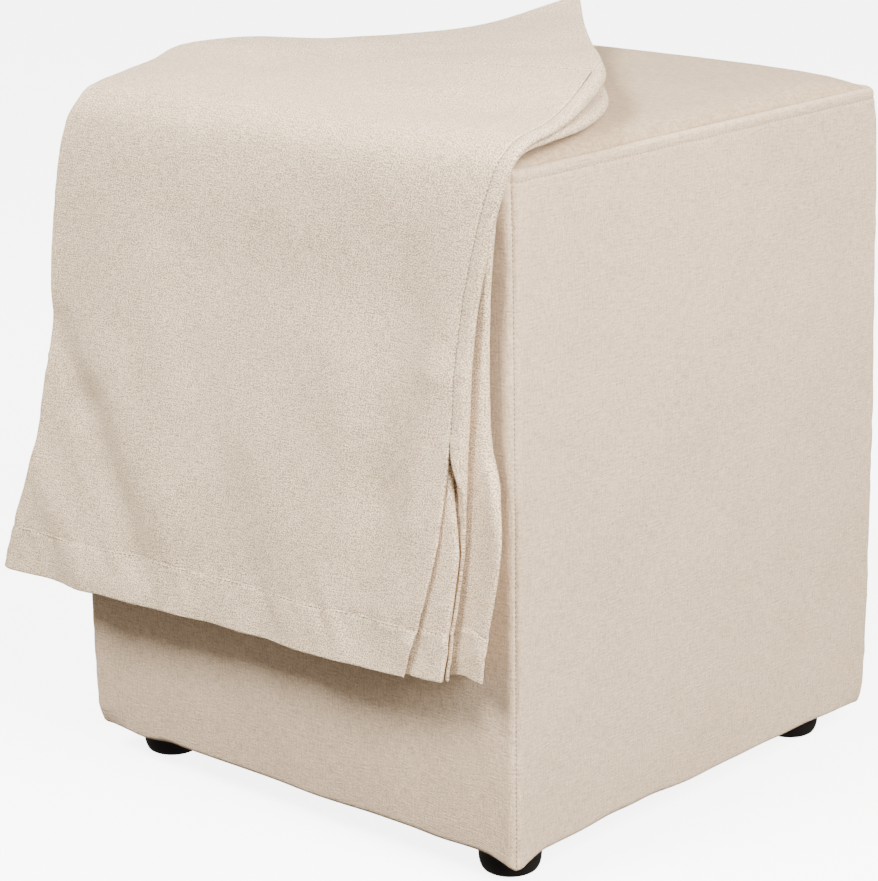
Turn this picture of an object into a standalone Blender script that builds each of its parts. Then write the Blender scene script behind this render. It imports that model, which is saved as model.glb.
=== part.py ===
"""A cube pouf stool, with a loose cover that is folded flat and draped over its front top edge.

Metres, +Z up, and the stool's front faces -Y. Each piece is shaped about the stool's own centre.
The empty "stool_and_cover" carries them all, so that the origin lies on the floor, in the middle
of the whole object's outline.
"""

import math
from collections import namedtuple

import bmesh
import bpy
from mathutils import Vector

OBJECT_NAME = "cube_pouf_stool"
GAP = 0.0003  # between pieces that meet

# The stool
STOOL_HALF = 0.185
FOOT_HEIGHT = 0.0205
SEAM_HEIGHT = 0.4450
TOP_CORNER_RADIUS = 0.012
FACE_SWELL = 0.0020
EDGE_ROLL = 0.0085  # the width of base over which the lift of its edges fades
TOP_RIM = 0.0012
TOP_ROLL = 0.0075
TOP_ROLL_LENGTH = 0.0060
TOP_CORNER_LENGTH = 0.026  # over which the top falls away towards its corners
TOP_CROWN = 0.0034
FOOT_SIDES = 20

# Places of the grid lines, from the middle of the stool to one side
SIDE_LINES = (0.0, 0.060, 0.120, 0.158, 0.170, 0.1765, 0.1805, STOOL_HALF)
TOP_LINES = (0.0, 0.050, 0.098, 0.135, 0.160, 0.174, 0.181, STOOL_HALF - 0.0006)

# The loose cover. "along" is measured on the cloth, from the hem up over the edge and back
CLOTH = 0.0012
SLIT_TOP = 0.152
TOP_SEAM = 0.449
POINT = 0.636
CORNER_STRIP = 0.009  # of side panel that shows beside the front panel's right seam
SLIT_SPREAD = 0.054  # the length over which a slit's edges open
UNCURLED = 0.55  # how flat a slit's edges lie in the end
SIDE_LAP = 0.006  # how far a side panel's rear edge laps over the back panel's, below the slit
DROP_LENGTH = 0.012  # across the cloth, over which the drop at the left fold fades
SEAM_GAP = 0.0006  # between the edges of two panels that are sewn together
FOLD_SEAM_GAP = 0.0011  # the same, where the seam lies beside a fold
BACKING_HALF = 0.036
BACKING_TOP = SLIT_TOP + 0.012
BACKING_RETREAT = 0.009  # further in at its top, where the slit closes over it
BACKING_SPREAD = 0.043  # in levels, nearer at its top to the panels that it is sewn to
CREASE_HALF_GAP = 0.006
TURN_ANGLES = (45, 90, 135)

Side = namedtuple("Side", "share swell radius lean")
Corner = namedtuple("Corner", "x_side y_side lift droop length")
Foot = namedtuple("Foot", "name x y")
Face = namedtuple("Face", "along y_left z_left y_right z_right")
Swell = namedtuple("Swell", "along left_drop quarter middle three_quarters")
Edges = namedtuple(
    "Edges", "along front_left front_right fold_left fold_right inner_left inner_right"
)
Levels = namedtuple("Levels", "along side_outer side_inner")

# The filled sides by share of their height: how far they stand out, how round their corners are
# in plan, and how far the whole of them leans to the right and the rear
SIDES = (
    Side(0.000, 0.0002, 0.006, 0.0010),
    Side(0.006, 0.0017, 0.006, 0.0012),
    Side(0.030, 0.0024, 0.007, 0.0012),
    Side(0.100, 0.0031, 0.007, 0.0012),
    Side(0.250, 0.0034, 0.007, 0.0012),
    Side(0.500, 0.0033, 0.007, 0.0012),
    Side(0.720, 0.0023, 0.007, 0.0011),
    Side(0.880, 0.0021, 0.007, 0.0008),
    Side(0.950, 0.0018, 0.009, 0.0005),
    Side(0.985, 0.0010, 0.012, 0.0002),
    Side(0.995, 0.0002, 0.012, 0.0),
    Side(1.000, -0.0012, 0.012, 0.0),
)

# The lower edges lift above the flat base, and each corner hangs below them over a length
CORNERS = (
    Corner(1, -1, 0.0036, 0.0086, 0.027),
    Corner(1, 1, 0.0006, 0.0030, 0.030),
    Corner(-1, -1, 0.0020, 0.0060, 0.090),
    Corner(-1, 1, 0.0020, 0.0040, 0.040),
)

FEET = (
    Foot("stool_foot_front_left", -0.1490, -0.1490),
    Foot("stool_foot_front_right", 0.1535, -0.1510),
    Foot("stool_foot_rear_left", -0.1500, 0.1480),
    Foot("stool_foot_rear_right", 0.1545, 0.1455),
)

# Where the outermost layer lies at its left and right folds
OUTER_FACE = (
    Face(0.000, -0.2200, 0.1310, -0.2200, 0.1400),
    Face(0.031, -0.2180, 0.1620, -0.2175, 0.1710),
    Face(0.083, -0.2145, 0.2140, -0.2140, 0.2220),
    Face(0.152, -0.2105, 0.2830, -0.2095, 0.2890),
    Face(0.225, -0.2060, 0.3560, -0.2050, 0.3600),
    Face(0.285, -0.2025, 0.4160, -0.2015, 0.4200),
    Face(0.307, -0.2000, 0.4380, -0.1995, 0.4420),
    Face(0.319, -0.1965, 0.4490, -0.1960, 0.4530),
    Face(0.333, -0.1868, 0.4594, -0.1855, 0.4625),
    Face(0.366, -0.1530, 0.4652, -0.1550, 0.4680),
    Face(0.407, -0.1140, 0.4680, -0.1100, 0.4770),
    Face(TOP_SEAM, -0.0800, 0.4725, -0.0580, 0.4815),
    Face(0.480, -0.0480, 0.4730, -0.0270, 0.4840),
    Face(0.530, 0.0050, 0.4710, 0.0220, 0.4850),
    Face(0.585, 0.0700, 0.4750, 0.0760, 0.4860),
    Face(POINT, 0.1300, 0.4900, 0.1320, 0.4903),
)

# Where the innermost layer lies, just clear of the stool
INNER_FACE = (
    Face(0.000, -0.1950, 0.1350, -0.1935, 0.1420),
    Face(0.031, -0.1945, 0.1660, -0.1935, 0.1720),
    Face(0.083, -0.1940, 0.2170, -0.1930, 0.2220),
    Face(0.152, -0.1935, 0.2840, -0.1930, 0.2880),
    Face(0.225, -0.1930, 0.3560, -0.1930, 0.3590),
    Face(0.285, -0.1925, 0.4140, -0.1925, 0.4170),
    Face(0.307, -0.1920, 0.4340, -0.1920, 0.4360),
    Face(0.319, -0.1905, 0.4450, -0.1905, 0.4460),
    Face(0.333, -0.1830, 0.4545, -0.1830, 0.4550),
    Face(0.366, -0.1530, 0.4571, -0.1540, 0.4572),
    Face(0.407, -0.1140, 0.4575, -0.1100, 0.4577),
    Face(TOP_SEAM, -0.0800, 0.4577, -0.0580, 0.4580),
    Face(0.480, -0.0480, 0.4588, -0.0270, 0.4600),
    Face(0.530, 0.0050, 0.4602, 0.0220, 0.4630),
    Face(0.585, 0.0700, 0.4640, 0.0760, 0.4680),
    Face(POINT, 0.1290, 0.4835, 0.1310, 0.4838),
)

# How far all the layers drop at the left fold, over the stool's rounded edge, and how far the
# outer layers stand off the straight line between their folds
SWELLS = (
    Swell(0.000, 0.0, 0.0020, -0.0010, 0.0030),
    Swell(0.083, 0.0, 0.0025, 0.0000, 0.0020),
    Swell(0.225, 0.0, 0.0040, 0.0010, 0.0010),
    Swell(0.307, 0.0, 0.0030, 0.0020, 0.0020),
    Swell(0.333, 0.0020, 0.0010, 0.0010, 0.0005),
    Swell(0.366, 0.0036, 0.0010, 0.0005, -0.0010),
    Swell(0.407, 0.0030, 0.0000, -0.0015, -0.0010),
    Swell(TOP_SEAM, 0.0020, -0.0010, -0.0040, -0.0010),
    Swell(0.480, 0.0, -0.0005, -0.0020, 0.0000),
    Swell(0.530, 0.0, 0.0000, -0.0010, 0.0010),
    Swell(POINT, 0.0, 0.0, 0.0, 0.0),
)

# The cloth's edges below the slits, and its folds above them
EDGES = (
    Edges(0.000, -0.2335, 0.1300, -0.2060, 0.1570, -0.2030, 0.1660),
    Edges(0.031, -0.2240, 0.1390, -0.2030, 0.1610, -0.2010, 0.1705),
    Edges(0.083, -0.2040, 0.1520, -0.1965, 0.1665, -0.1950, 0.1810),
    Edges(0.120, -0.1960, 0.1565, -0.1925, 0.1670, -0.1910, 0.1825),
    Edges(0.152, -0.1900, 0.1595, -0.1900, 0.1685, -0.1870, 0.1775),
    Edges(0.225, -0.1850, 0.1645, -0.1850, 0.1735, -0.1820, 0.1765),
    Edges(0.285, -0.1765, 0.1770, -0.1765, 0.1860, -0.1740, 0.1810),
    Edges(0.307, -0.1705, 0.1830, -0.1705, 0.1920, -0.1680, 0.1860),
    Edges(0.319, -0.1660, 0.1860, -0.1660, 0.1950, -0.1640, 0.1895),
    Edges(0.333, -0.1640, 0.1880, -0.1640, 0.1970, -0.1620, 0.1920),
    Edges(0.366, -0.1710, 0.1850, -0.1710, 0.1940, -0.1690, 0.1880),
    Edges(0.407, -0.1810, 0.1700, -0.1810, 0.1790, -0.1780, 0.1785),
    Edges(TOP_SEAM, -0.1870, 0.1425, -0.1870, 0.1515, -0.1830, 0.1530),
    Edges(0.480, -0.1590, 0.1240, -0.1590, 0.1240, -0.1560, 0.1260),
    Edges(0.530, -0.1140, 0.0780, -0.1140, 0.0780, -0.1110, 0.0760),
    Edges(0.585, -0.0640, 0.0280, -0.0640, 0.0280, -0.0620, 0.0240),
    Edges(POINT, -0.0315, -0.0205, -0.0315, -0.0205, -0.0315, -0.0205),
)

# Where the side panels' two halves lie between the outer layer, 0, and the inner one, 1
LEVELS = (
    Levels(0.000, 0.43, 0.57),
    Levels(0.165, 0.43, 0.57),
    Levels(0.230, 0.34, 0.66),
    Levels(POINT, 0.34, 0.66),
)
FRONT_BACKING_LEVELS = (0.145, 0.276)
REAR_BACKING_LEVELS = (0.715, 0.855)

PANEL_ROWS = (
    0.000, 0.016, 0.031, 0.057, 0.083, 0.110, 0.121, 0.132, 0.142, SLIT_TOP, 0.188, 0.225,
    0.257, 0.285, 0.307, 0.319, 0.333, 0.348, 0.366, 0.387, 0.407, 0.428, TOP_SEAM,
)
TOP_ROWS = (TOP_SEAM, 0.464, 0.480, 0.505, 0.530, 0.558, 0.585, 0.612, POINT)
BACKING_ROWS = (0.001, 0.031, 0.080, 0.110, 0.140, BACKING_TOP)


# --- Helpers ---


def clear_scene():
    for thing in list(bpy.data.objects):
        bpy.data.objects.remove(thing)


def material(name, colour, roughness, metallic=0.0):
    made = bpy.data.materials.new(name)
    made.use_nodes = True
    shader = made.node_tree.nodes["Principled BSDF"]
    shader.inputs["Base Color"].default_value = (*colour, 1.0)
    shader.inputs["Roughness"].default_value = roughness
    shader.inputs["Metallic"].default_value = metallic
    return made


def object_from(bm, name, finish, collection, parent):
    """Writes a bmesh to a new object of the collection, with smooth shading."""
    mesh = bpy.data.meshes.new(name)
    bm.to_mesh(mesh)
    bm.free()
    mesh.materials.append(finish)
    mesh.shade_smooth()
    mesh.set_sharp_from_angle(angle=math.radians(40))
    made = bpy.data.objects.new(name, mesh)
    collection.objects.link(made)
    made.parent = parent
    return made


def mirrored_lines(half_lines):
    """Grid lines from one side to the other, from those of one half."""
    return [-line for line in reversed(half_lines[1:])] + list(half_lines)


def gridded_cube(cuts):
    """A cube from -1 to 1 whose edges are cut evenly, a number of times along each axis."""
    bm = bmesh.new()
    bmesh.ops.create_cube(bm, size=2.0)
    for axis, count in enumerate(cuts):
        along_axis = [
            edge
            for edge in bm.edges
            if abs(edge.verts[0].co[axis] - edge.verts[1].co[axis]) > 1.0
        ]
        bmesh.ops.subdivide_edges(bm, edges=along_axis, cuts=count, use_grid_fill=True)
    return bm


def line_at(lines, place):
    """The grid line that an evenly spaced place from -1 to 1 stands for."""
    return lines[round((place + 1) / 2 * (len(lines) - 1))]


# --- The stool ---


def side_at(share):
    """The row of SIDES at a share of the height."""
    return min(SIDES, key=lambda side: abs(side.share - share))


def base_lift(x, y):
    """How far the base rises at its edges, and how far its corners hang."""
    from_edge = STOOL_HALF - max(abs(x), abs(y))
    from_corner = STOOL_HALF - min(abs(x), abs(y))
    lift = 0.0
    for corner in CORNERS:
        near_x = (1 + corner.x_side * x / STOOL_HALF) / 2
        near_y = (1 + corner.y_side * y / STOOL_HALF) / 2
        lift += corner.lift * near_x * near_y
        if near_x > 0.5 and near_y > 0.5:
            lift -= corner.droop * max(1 - from_corner / corner.length, 0.0) ** 1.2
    return lift * max(1 - from_edge / EDGE_ROLL, 0.0)


def rounded_plan(x, y, half, radius):
    """Draws a point of a square plan in, so that the square's corners become arcs."""
    straight = half - radius
    over = Vector((max(abs(x) - straight, 0.0), max(abs(y) - straight, 0.0)))
    if over.x == 0 or over.y == 0:
        return x, y
    over *= max(over) / over.length
    return (
        math.copysign(straight + over.x, x),
        math.copysign(straight + over.y, y),
    )


def body_point(x, y, share):
    """Where a point of the squared body goes: swollen, rounded in plan, and leaning."""
    side = side_at(share)
    bow = math.sin(math.pi * share) ** 0.6 if 0 < share < 1 else 0.0
    beside = min(abs(x), abs(y)) / STOOL_HALF
    swell = side.swell + FACE_SWELL * bow * (1 - beside**2)
    grown = 1 + swell / STOOL_HALF
    height = SEAM_HEIGHT - GAP - FOOT_HEIGHT
    lift = base_lift(x, y) * (1 - share) ** 12
    x, y = rounded_plan(x, y, STOOL_HALF, side.radius)
    return (
        x * grown + side.lean,
        y * grown + side.lean,
        FOOT_HEIGHT + height * share + lift,
    )


def make_body(finish, collection, parent):
    """The four side panels round their filling: one crowned solid with a rolled-under base."""
    lines = mirrored_lines(SIDE_LINES)
    shares = [side.share for side in SIDES]
    bm = gridded_cube((len(lines) - 2, len(lines) - 2, len(shares) - 2))
    for vert in bm.verts:
        x = line_at(lines, vert.co.x)
        y = line_at(lines, vert.co.y)
        vert.co = body_point(x, y, line_at(shares, vert.co.z))
    return object_from(bm, "stool_body", finish, collection, parent)


def make_top_panel(finish, collection, parent):
    """The top panel over its filling: it rolls up from the seam to a low crown."""
    lines = mirrored_lines(TOP_LINES)
    half = lines[-1]
    bm = bmesh.new()
    spans = len(lines) - 1
    bmesh.ops.create_grid(bm, x_segments=spans, y_segments=spans, size=1.0)
    for vert in bm.verts:
        x = line_at(lines, vert.co.x)
        y = line_at(lines, vert.co.y)
        from_sides = (half - abs(x), half - abs(y))
        roll = TOP_ROLL
        for distance in from_sides:
            roll *= 1 - math.exp(-distance / TOP_ROLL_LENGTH)
        crown = TOP_CROWN * (1 - (x / half) ** 2) * (1 - (y / half) ** 2)
        corner = 1 - math.exp(-math.hypot(*from_sides) / TOP_CORNER_LENGTH)
        plan = rounded_plan(x, y, half, TOP_CORNER_RADIUS)
        vert.co = (*plan, SEAM_HEIGHT + TOP_RIM + roll * corner + crown)
    rim = [edge for edge in bm.edges if edge.is_boundary]
    lowered = bmesh.ops.extrude_edge_only(bm, edges=rim)["geom"]
    for vert in lowered:
        if isinstance(vert, bmesh.types.BMVert):
            vert.co.z = SEAM_HEIGHT
    base_edges = [edge for edge in bm.edges if edge.is_boundary]
    bmesh.ops.contextual_create(bm, geom=base_edges)
    bmesh.ops.recalc_face_normals(bm, faces=bm.faces)
    return object_from(bm, "stool_top_panel", finish, collection, parent)


def make_foot(name, x, y, finish, collection, parent):
    """A turned glide: a flat foot with a rounded rim, under a wide thin flange."""
    profile = (
        (0.0, FOOT_HEIGHT - GAP),
        (0.0258, FOOT_HEIGHT - GAP),
        (0.0262, 0.0186),
        (0.0200, 0.0166),
        (0.0195, 0.0062),
        (0.0182, 0.0022),
        (0.0156, 0.0),
        (0.0, 0.0),
    )
    bm = bmesh.new()
    points = [bm.verts.new((radius, 0.0, height)) for radius, height in profile]
    for upper, lower in zip(points, points[1:]):
        bm.edges.new((upper, lower))
    foot = object_from(bm, name, finish, collection, parent)
    foot.location = (x, y, 0.0)
    turn = foot.modifiers.new("turned", "SCREW")
    turn.steps = FOOT_SIDES
    turn.render_steps = FOOT_SIDES
    turn.use_merge_vertices = True
    turn.merge_threshold = 0.0001
    turn.use_smooth_shade = True
    return foot


# --- The loose cover ---


def smooth_value(table, column, along):
    """A column of a table, read along a smooth curve through its rows."""
    rows = [(row.along, getattr(row, column)) for row in table]
    if along <= rows[0][0]:
        return rows[0][1]
    if along >= rows[-1][0]:
        return rows[-1][1]
    at = max(i for i, row in enumerate(rows[:-1]) if row[0] <= along)
    slopes = []
    for i in (at, at + 1):
        before = rows[max(i - 1, 0)]
        after = rows[min(i + 1, len(rows) - 1)]
        slopes.append((after[1] - before[1]) / (after[0] - before[0]))
    (start, first), (end, second) = rows[at], rows[at + 1]
    length = end - start
    t = (along - start) / length
    return (
        first * (2 * t**3 - 3 * t**2 + 1)
        + second * (3 * t**2 - 2 * t**3)
        + length * slopes[0] * (t**3 - 2 * t**2 + t)
        + length * slopes[1] * (t**3 - t**2)
    )


class Station:
    """One line across the folded cloth, and where its layers, folds and edges lie there."""

    def __init__(self, along):
        self.along = along
        self.outer_left = self.face_point(OUTER_FACE, "left")
        self.outer_right = self.face_point(OUTER_FACE, "right")
        self.inner_left = self.face_point(INNER_FACE, "left")
        self.inner_right = self.face_point(INNER_FACE, "right")
        self.edge = {
            column: smooth_value(EDGES, column, along) for column in Edges._fields[1:]
        }
        self.swells = [
            0.0,
            *(smooth_value(SWELLS, column, along) for column in Swell._fields[2:]),
            0.0,
        ]
        self.left_drop = smooth_value(SWELLS, "left_drop", along)
        self.side_outer = smooth_value(LEVELS, "side_outer", along)
        self.side_inner = smooth_value(LEVELS, "side_inner", along)
        self.middle = (self.edge["fold_left"] + self.edge["fold_right"]) / 2

    def face_point(self, table, side):
        return Vector(
            (
                smooth_value(table, "y_" + side, self.along),
                smooth_value(table, "z_" + side, self.along),
            )
        )

    def swell(self, share):
        """The outer layers' stand-off, at a share of the way from the left fold."""
        place = min(max(share, 0.0), 1.0) * 4
        at = min(int(place), 3)
        ease = (1 - math.cos(math.pi * (place - at))) / 2
        return self.swells[at] * (1 - ease) + self.swells[at + 1] * ease

    def depth(self, x):
        """The distance from the outermost to the innermost layer."""
        share = self.share(x)
        outer = self.outer_left.lerp(self.outer_right, share)
        inner = self.inner_left.lerp(self.inner_right, share)
        return (outer - inner).length

    def share(self, x):
        left = self.edge["fold_left"]
        return (x - left) / (self.edge["fold_right"] - left)

    def place(self, x, level):
        """The point at x on the layer that lies at this level between the outer and inner."""
        share = self.share(x)
        outer = self.outer_left.lerp(self.outer_right, share)
        inner = self.inner_left.lerp(self.inner_right, share)
        outward = (outer - inner).normalized()
        y, z = outer.lerp(inner, level) + outward * self.swell(share) * (1 - level)
        from_fold = max(x - self.edge["fold_left"], 0.0)
        return Vector((x, y, z - self.left_drop * math.exp(-from_fold / DROP_LENGTH)))

    def opened(self):
        """0 where the folds are closed, and 1 where a slit's edges lie flat and free."""
        share = min(max((SLIT_TOP - self.along) / SLIT_SPREAD, 0.0), 1.0)
        return (1 - math.cos(math.pi * share)) / 2


def turn(station, fold, inward, first, last, reach=0.0):
    """The (x, level) places round a fold, from level first to level last.

    inward is +1 where the cloth lies to the right of the fold and -1 where it lies to the left.
    reach is how far from the fold the cloth runs on level first. Where a slit opens, the cloth
    draws back to the fold's outermost line, and then uncurls towards level last.
    """
    height = abs(last - first) * station.depth(fold)
    radius = height / 2
    half_circle = math.pi * radius
    closed = half_circle + max(reach - radius, 0.0)
    drawn_back = min(station.opened() * 2, 1.0)
    uncurled = UNCURLED * max(station.opened() * 2 - 1, 0.0)
    length = closed + (half_circle / 2 - closed) * drawn_back
    bent_radius = radius / (1 - uncurled)
    runs = [half_circle * i / 4 for i in range(5)] + [closed] * (reach > 0)
    outermost = bent_radius * math.sin(min(length / bent_radius, math.pi / 2))
    places = []
    for run in runs:
        run *= length / closed
        angle = min(run, half_circle) / bent_radius
        across = bent_radius * math.sin(angle) - max(run - half_circle, 0.0)
        rise = bent_radius * (1 - math.cos(angle)) / height
        x = fold + inward * (outermost - across)
        places.insert(0, (x, last + (first - last) * rise))
    return places


def crease(station, x, inward, first, last):
    """The (x, level) places round the side panel's own crease, in the middle of the cover."""
    radius = abs(last - first) * station.depth(x) / 2
    places = []
    for angle in (0, *TURN_ANGLES, 180):
        bend = math.radians(angle)
        across = x + inward * radius * (1 - math.sin(bend))
        places.append((across, first + (last - first) * (1 - math.cos(bend)) / 2))
    return places


def run_between(start, end, spans):
    """Evenly spaced places between two, without the ends."""
    return [
        tuple(a + (b - a) * i / spans for a, b in zip(start, end)) for i in range(1, spans)
    ]


def joined(*parts):
    """One path from parts, with straight runs between them: part, number of spans, part ..."""
    path = list(parts[0])
    for spans, part in zip(parts[1::2], parts[2::2]):
        path += run_between(path[-1], part[0], spans) + list(part)
    return path


def front_path(station):
    left = turn(station, station.edge["front_left"], 1, station.side_outer, 0.0)
    right = [(station.edge["front_right"] - SEAM_GAP / 2, 0.0)]
    return joined(left, 9, right)


def right_side_path(station):
    outer = turn(
        station,
        station.edge["fold_right"],
        -1,
        0.0,
        station.side_outer,
        CORNER_STRIP - SEAM_GAP / 2,
    )
    middle = crease(
        station,
        station.middle + CREASE_HALF_GAP,
        1,
        station.side_outer,
        station.side_inner,
    )
    rear = station.edge["inner_right"] + SIDE_LAP * station.opened()
    inner = turn(station, rear, -1, 1.0, station.side_inner)
    return joined(outer, 4, middle, 4, inner[::-1])


def left_side_path(station):
    radius = station.side_outer * station.depth(station.edge["fold_left"]) / 2
    start = station.edge["fold_left"] + (radius + FOLD_SEAM_GAP) * (1 - station.opened())
    middle = crease(
        station,
        station.middle - CREASE_HALF_GAP,
        -1,
        station.side_outer,
        station.side_inner,
    )
    rear = station.edge["inner_left"] - SIDE_LAP * station.opened()
    inner = turn(station, rear, 1, 1.0, station.side_inner)
    return joined([(start, station.side_outer)], 4, middle, 4, inner[::-1])


def back_path(station):
    ends = []
    for side, inward in (("inner_left", 1), ("inner_right", -1)):
        fold = station.edge[side]
        radius = (1 - station.side_inner) * station.depth(fold) / 2
        ends.append([(fold + inward * (radius + FOLD_SEAM_GAP) * (1 - station.opened()), 1.0)])
    return joined(ends[0], 9, ends[1])


def top_loop(station):
    """All the way round the flattened top panel, whose sides are folded in as well."""
    edge = station.edge
    outer, inner = station.side_outer, station.side_inner
    half_gap = CREASE_HALF_GAP * (1 - 0.7 * (station.along - TOP_SEAM) / (POINT - TOP_SEAM))
    return joined(
        turn(station, edge["fold_left"], 1, outer, 0.0),
        7,
        turn(station, edge["fold_right"], -1, 0.0, outer),
        3,
        crease(station, station.middle + half_gap, 1, outer, inner),
        3,
        turn(station, edge["inner_right"], -1, inner, 1.0),
        7,
        turn(station, edge["inner_left"], 1, 1.0, inner),
        3,
        crease(station, station.middle - half_gap, -1, inner, outer),
        3,
        turn(station, edge["fold_left"], 1, outer, 0.0)[:1],
    )[:-1]


def backing_path(fold, inward, levels, shift):
    """A slit's backing: a strip doubled over at the corner, behind both edges of the slit."""

    def path(station):
        sewn = min(max((station.along - 0.080) / 0.060, 0.0), 1.0)
        outer = levels[0] - BACKING_SPREAD * sewn
        inner = levels[1] + BACKING_SPREAD * sewn
        x = station.edge[fold] + inward * (shift + BACKING_RETREAT * sewn)
        radius = (inner - outer) * station.depth(x) / 2
        around = []
        for angle in (0, *TURN_ANGLES, 180):
            bend = math.radians(angle)
            level = outer + (inner - outer) * (1 - math.cos(bend)) / 2
            around.append((x + inward * radius * (1 - math.sin(bend)), level))
        far = x + inward * (BACKING_HALF - BACKING_RETREAT * sewn)
        return joined([(far, outer)], 2, around, 2, [(far, inner)])

    return path


def make_cloth(name, path, rows, finish, collection, parent, closed=False):
    """A sheet laid along a path across each row, and given the cloth's thickness."""
    stations = [Station(along) for along in rows]
    lines = [[station.place(*at) for at in path(station)] for station in stations]
    columns = len(lines[0])
    bm = bmesh.new()
    grid = [[bm.verts.new(point) for point in line] for line in lines]
    last = columns if closed else columns - 1
    for lower, upper in zip(grid, grid[1:]):
        for i in range(last):
            j = (i + 1) % columns
            bm.faces.new((lower[i], lower[j], upper[j], upper[i]))
    bmesh.ops.recalc_face_normals(bm, faces=bm.faces)
    cloth = object_from(bm, name, finish, collection, parent)
    thicken = cloth.modifiers.new("cloth", "SOLIDIFY")
    thicken.thickness = CLOTH
    thicken.offset = 0.0
    thicken.use_even_offset = True
    return cloth


# --- Everything together ---


def stand_on_origin(carrier, parts):
    """Moves the carrier, so that the origin is under the middle of the parts' outline."""
    bpy.context.view_layer.update()
    graph = bpy.context.evaluated_depsgraph_get()
    corners = []
    for part in parts:
        shown = part.evaluated_get(graph)
        corners += [shown.matrix_world @ vert.co for vert in shown.data.vertices]
    for axis in (0, 1):
        places = [corner[axis] for corner in corners]
        carrier.location[axis] = -(min(places) + max(places)) / 2


def build():
    clear_scene()
    collection = bpy.data.collections.new(OBJECT_NAME)
    bpy.context.scene.collection.children.link(collection)
    carrier = bpy.data.objects.new("stool_and_cover", None)
    collection.objects.link(carrier)
    upholstery = material("beige_upholstery", (0.66, 0.58, 0.49), 0.95)
    cover_cloth = material("beige_cover_cloth", (0.69, 0.61, 0.52), 0.95)
    black_plastic = material("black_plastic", (0.014, 0.012, 0.011), 0.45)
    in_stool = (upholstery, collection, carrier)
    in_cover = (cover_cloth, collection, carrier)
    parts = [make_body(*in_stool), make_top_panel(*in_stool)]
    for foot in FEET:
        parts.append(make_foot(*foot, black_plastic, collection, carrier))
    panels = (
        ("cover_front_panel", front_path),
        ("cover_right_side_panel", right_side_path),
        ("cover_left_side_panel", left_side_path),
        ("cover_back_panel", back_path),
    )
    for name, path in panels:
        parts.append(make_cloth(name, path, PANEL_ROWS, *in_cover))
    top_rows = [TOP_SEAM + SEAM_GAP * 1.5, *TOP_ROWS[1:]]
    parts.append(make_cloth("cover_top_panel", top_loop, top_rows, *in_cover, closed=True))
    backings = (
        ("cover_backing_front_right", "fold_right", -1, FRONT_BACKING_LEVELS, 0.002),
        ("cover_backing_front_left", "fold_left", 1, FRONT_BACKING_LEVELS, 0.004),
        ("cover_backing_rear_right", "inner_right", -1, REAR_BACKING_LEVELS, 0.003),
        ("cover_backing_rear_left", "inner_left", 1, REAR_BACKING_LEVELS, 0.003),
    )
    for name, fold, inward, levels, shift in backings:
        path = backing_path(fold, inward, levels, shift)
        parts.append(make_cloth(name, path, BACKING_ROWS, *in_cover))
    stand_on_origin(carrier, parts)


build()
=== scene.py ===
# %% [markdown]
# # A cube pouf stool with a loose cover draped over it
#
# The stool is a fabric sleeve round a firm filling, with a crowned top panel, on four glides. A
# loose cover of the same cut lies folded flat over its front top edge. The solids already hold
# every outline. This script gives each soft piece its cloth: seams that pull in, hems, stitches,
# soft creases and a linen-look weave.

# %% Setup
import functools
import math
from collections import namedtuple

import bmesh
import bpy
from mathutils import Euler, Matrix, Vector, noise


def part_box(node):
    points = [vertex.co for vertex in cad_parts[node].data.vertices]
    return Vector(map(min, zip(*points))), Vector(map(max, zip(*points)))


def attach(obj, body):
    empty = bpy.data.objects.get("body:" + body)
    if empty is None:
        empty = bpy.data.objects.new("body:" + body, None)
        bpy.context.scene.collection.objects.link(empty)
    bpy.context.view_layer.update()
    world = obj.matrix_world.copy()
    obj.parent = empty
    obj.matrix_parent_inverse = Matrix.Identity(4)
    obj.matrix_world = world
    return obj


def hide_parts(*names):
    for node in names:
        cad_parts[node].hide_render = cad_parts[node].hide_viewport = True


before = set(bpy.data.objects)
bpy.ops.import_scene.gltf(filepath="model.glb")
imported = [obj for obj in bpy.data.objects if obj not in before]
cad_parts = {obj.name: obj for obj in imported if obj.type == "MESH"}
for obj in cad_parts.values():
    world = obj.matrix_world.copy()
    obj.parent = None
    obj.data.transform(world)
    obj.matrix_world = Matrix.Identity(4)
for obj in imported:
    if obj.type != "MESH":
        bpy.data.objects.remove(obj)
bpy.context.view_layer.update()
LOW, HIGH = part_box("stool_top_panel")
CENTRE = Vector(((LOW[0] + HIGH[0]) / 2, (LOW[1] + HIGH[1]) / 2, 0))
print("middle of the stool", [round(c, 5) for c in CENTRE])

# %% [markdown]
# ## The camera
#
# The view is along the near corner, from a little above. Every later size can be judged from
# here, so the camera comes first. All places in this script are given from the stool's own
# centre on the floor, and CENTRE moves them to where the solids stand.

# %% Camera
VIEW_AZIMUTH = math.radians(41.665)
VIEW_ELEVATION = math.radians(16.238)
VIEW_ROLL = math.radians(-0.6815)
EYE = Vector((1.23102, -1.42344, 0.76050))
LENS = 119.85


def placed(name, data):
    """A new object of the scene that shows this data."""
    added = bpy.data.objects.new(name, data)
    bpy.context.scene.collection.objects.link(added)
    return added


camera = placed("camera", bpy.data.cameras.new("camera"))
camera.location = CENTRE + EYE
turned = Euler((math.pi / 2 - VIEW_ELEVATION, 0, VIEW_AZIMUTH)).to_matrix()
camera.rotation_euler = (turned @ Matrix.Rotation(VIEW_ROLL, 3, "Z")).to_euler()
camera.data.sensor_width = 36
camera.data.lens = LENS
camera.data.clip_end = 50
bpy.context.scene.camera = camera
print("camera at", [round(c, 3) for c in camera.location], "lens", camera.data.lens)

# %% [markdown]
# ## Materials
#
# Arithmetic on sockets reads like a formula. `Value` wraps a socket, and each operator adds one
# Math node. `Tree` holds the nodes, and its method `node` adds one: its settings first, then what
# joins its sockets. `Finish` is the tree of a material, and `dress` joins the shader's sockets.

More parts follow.
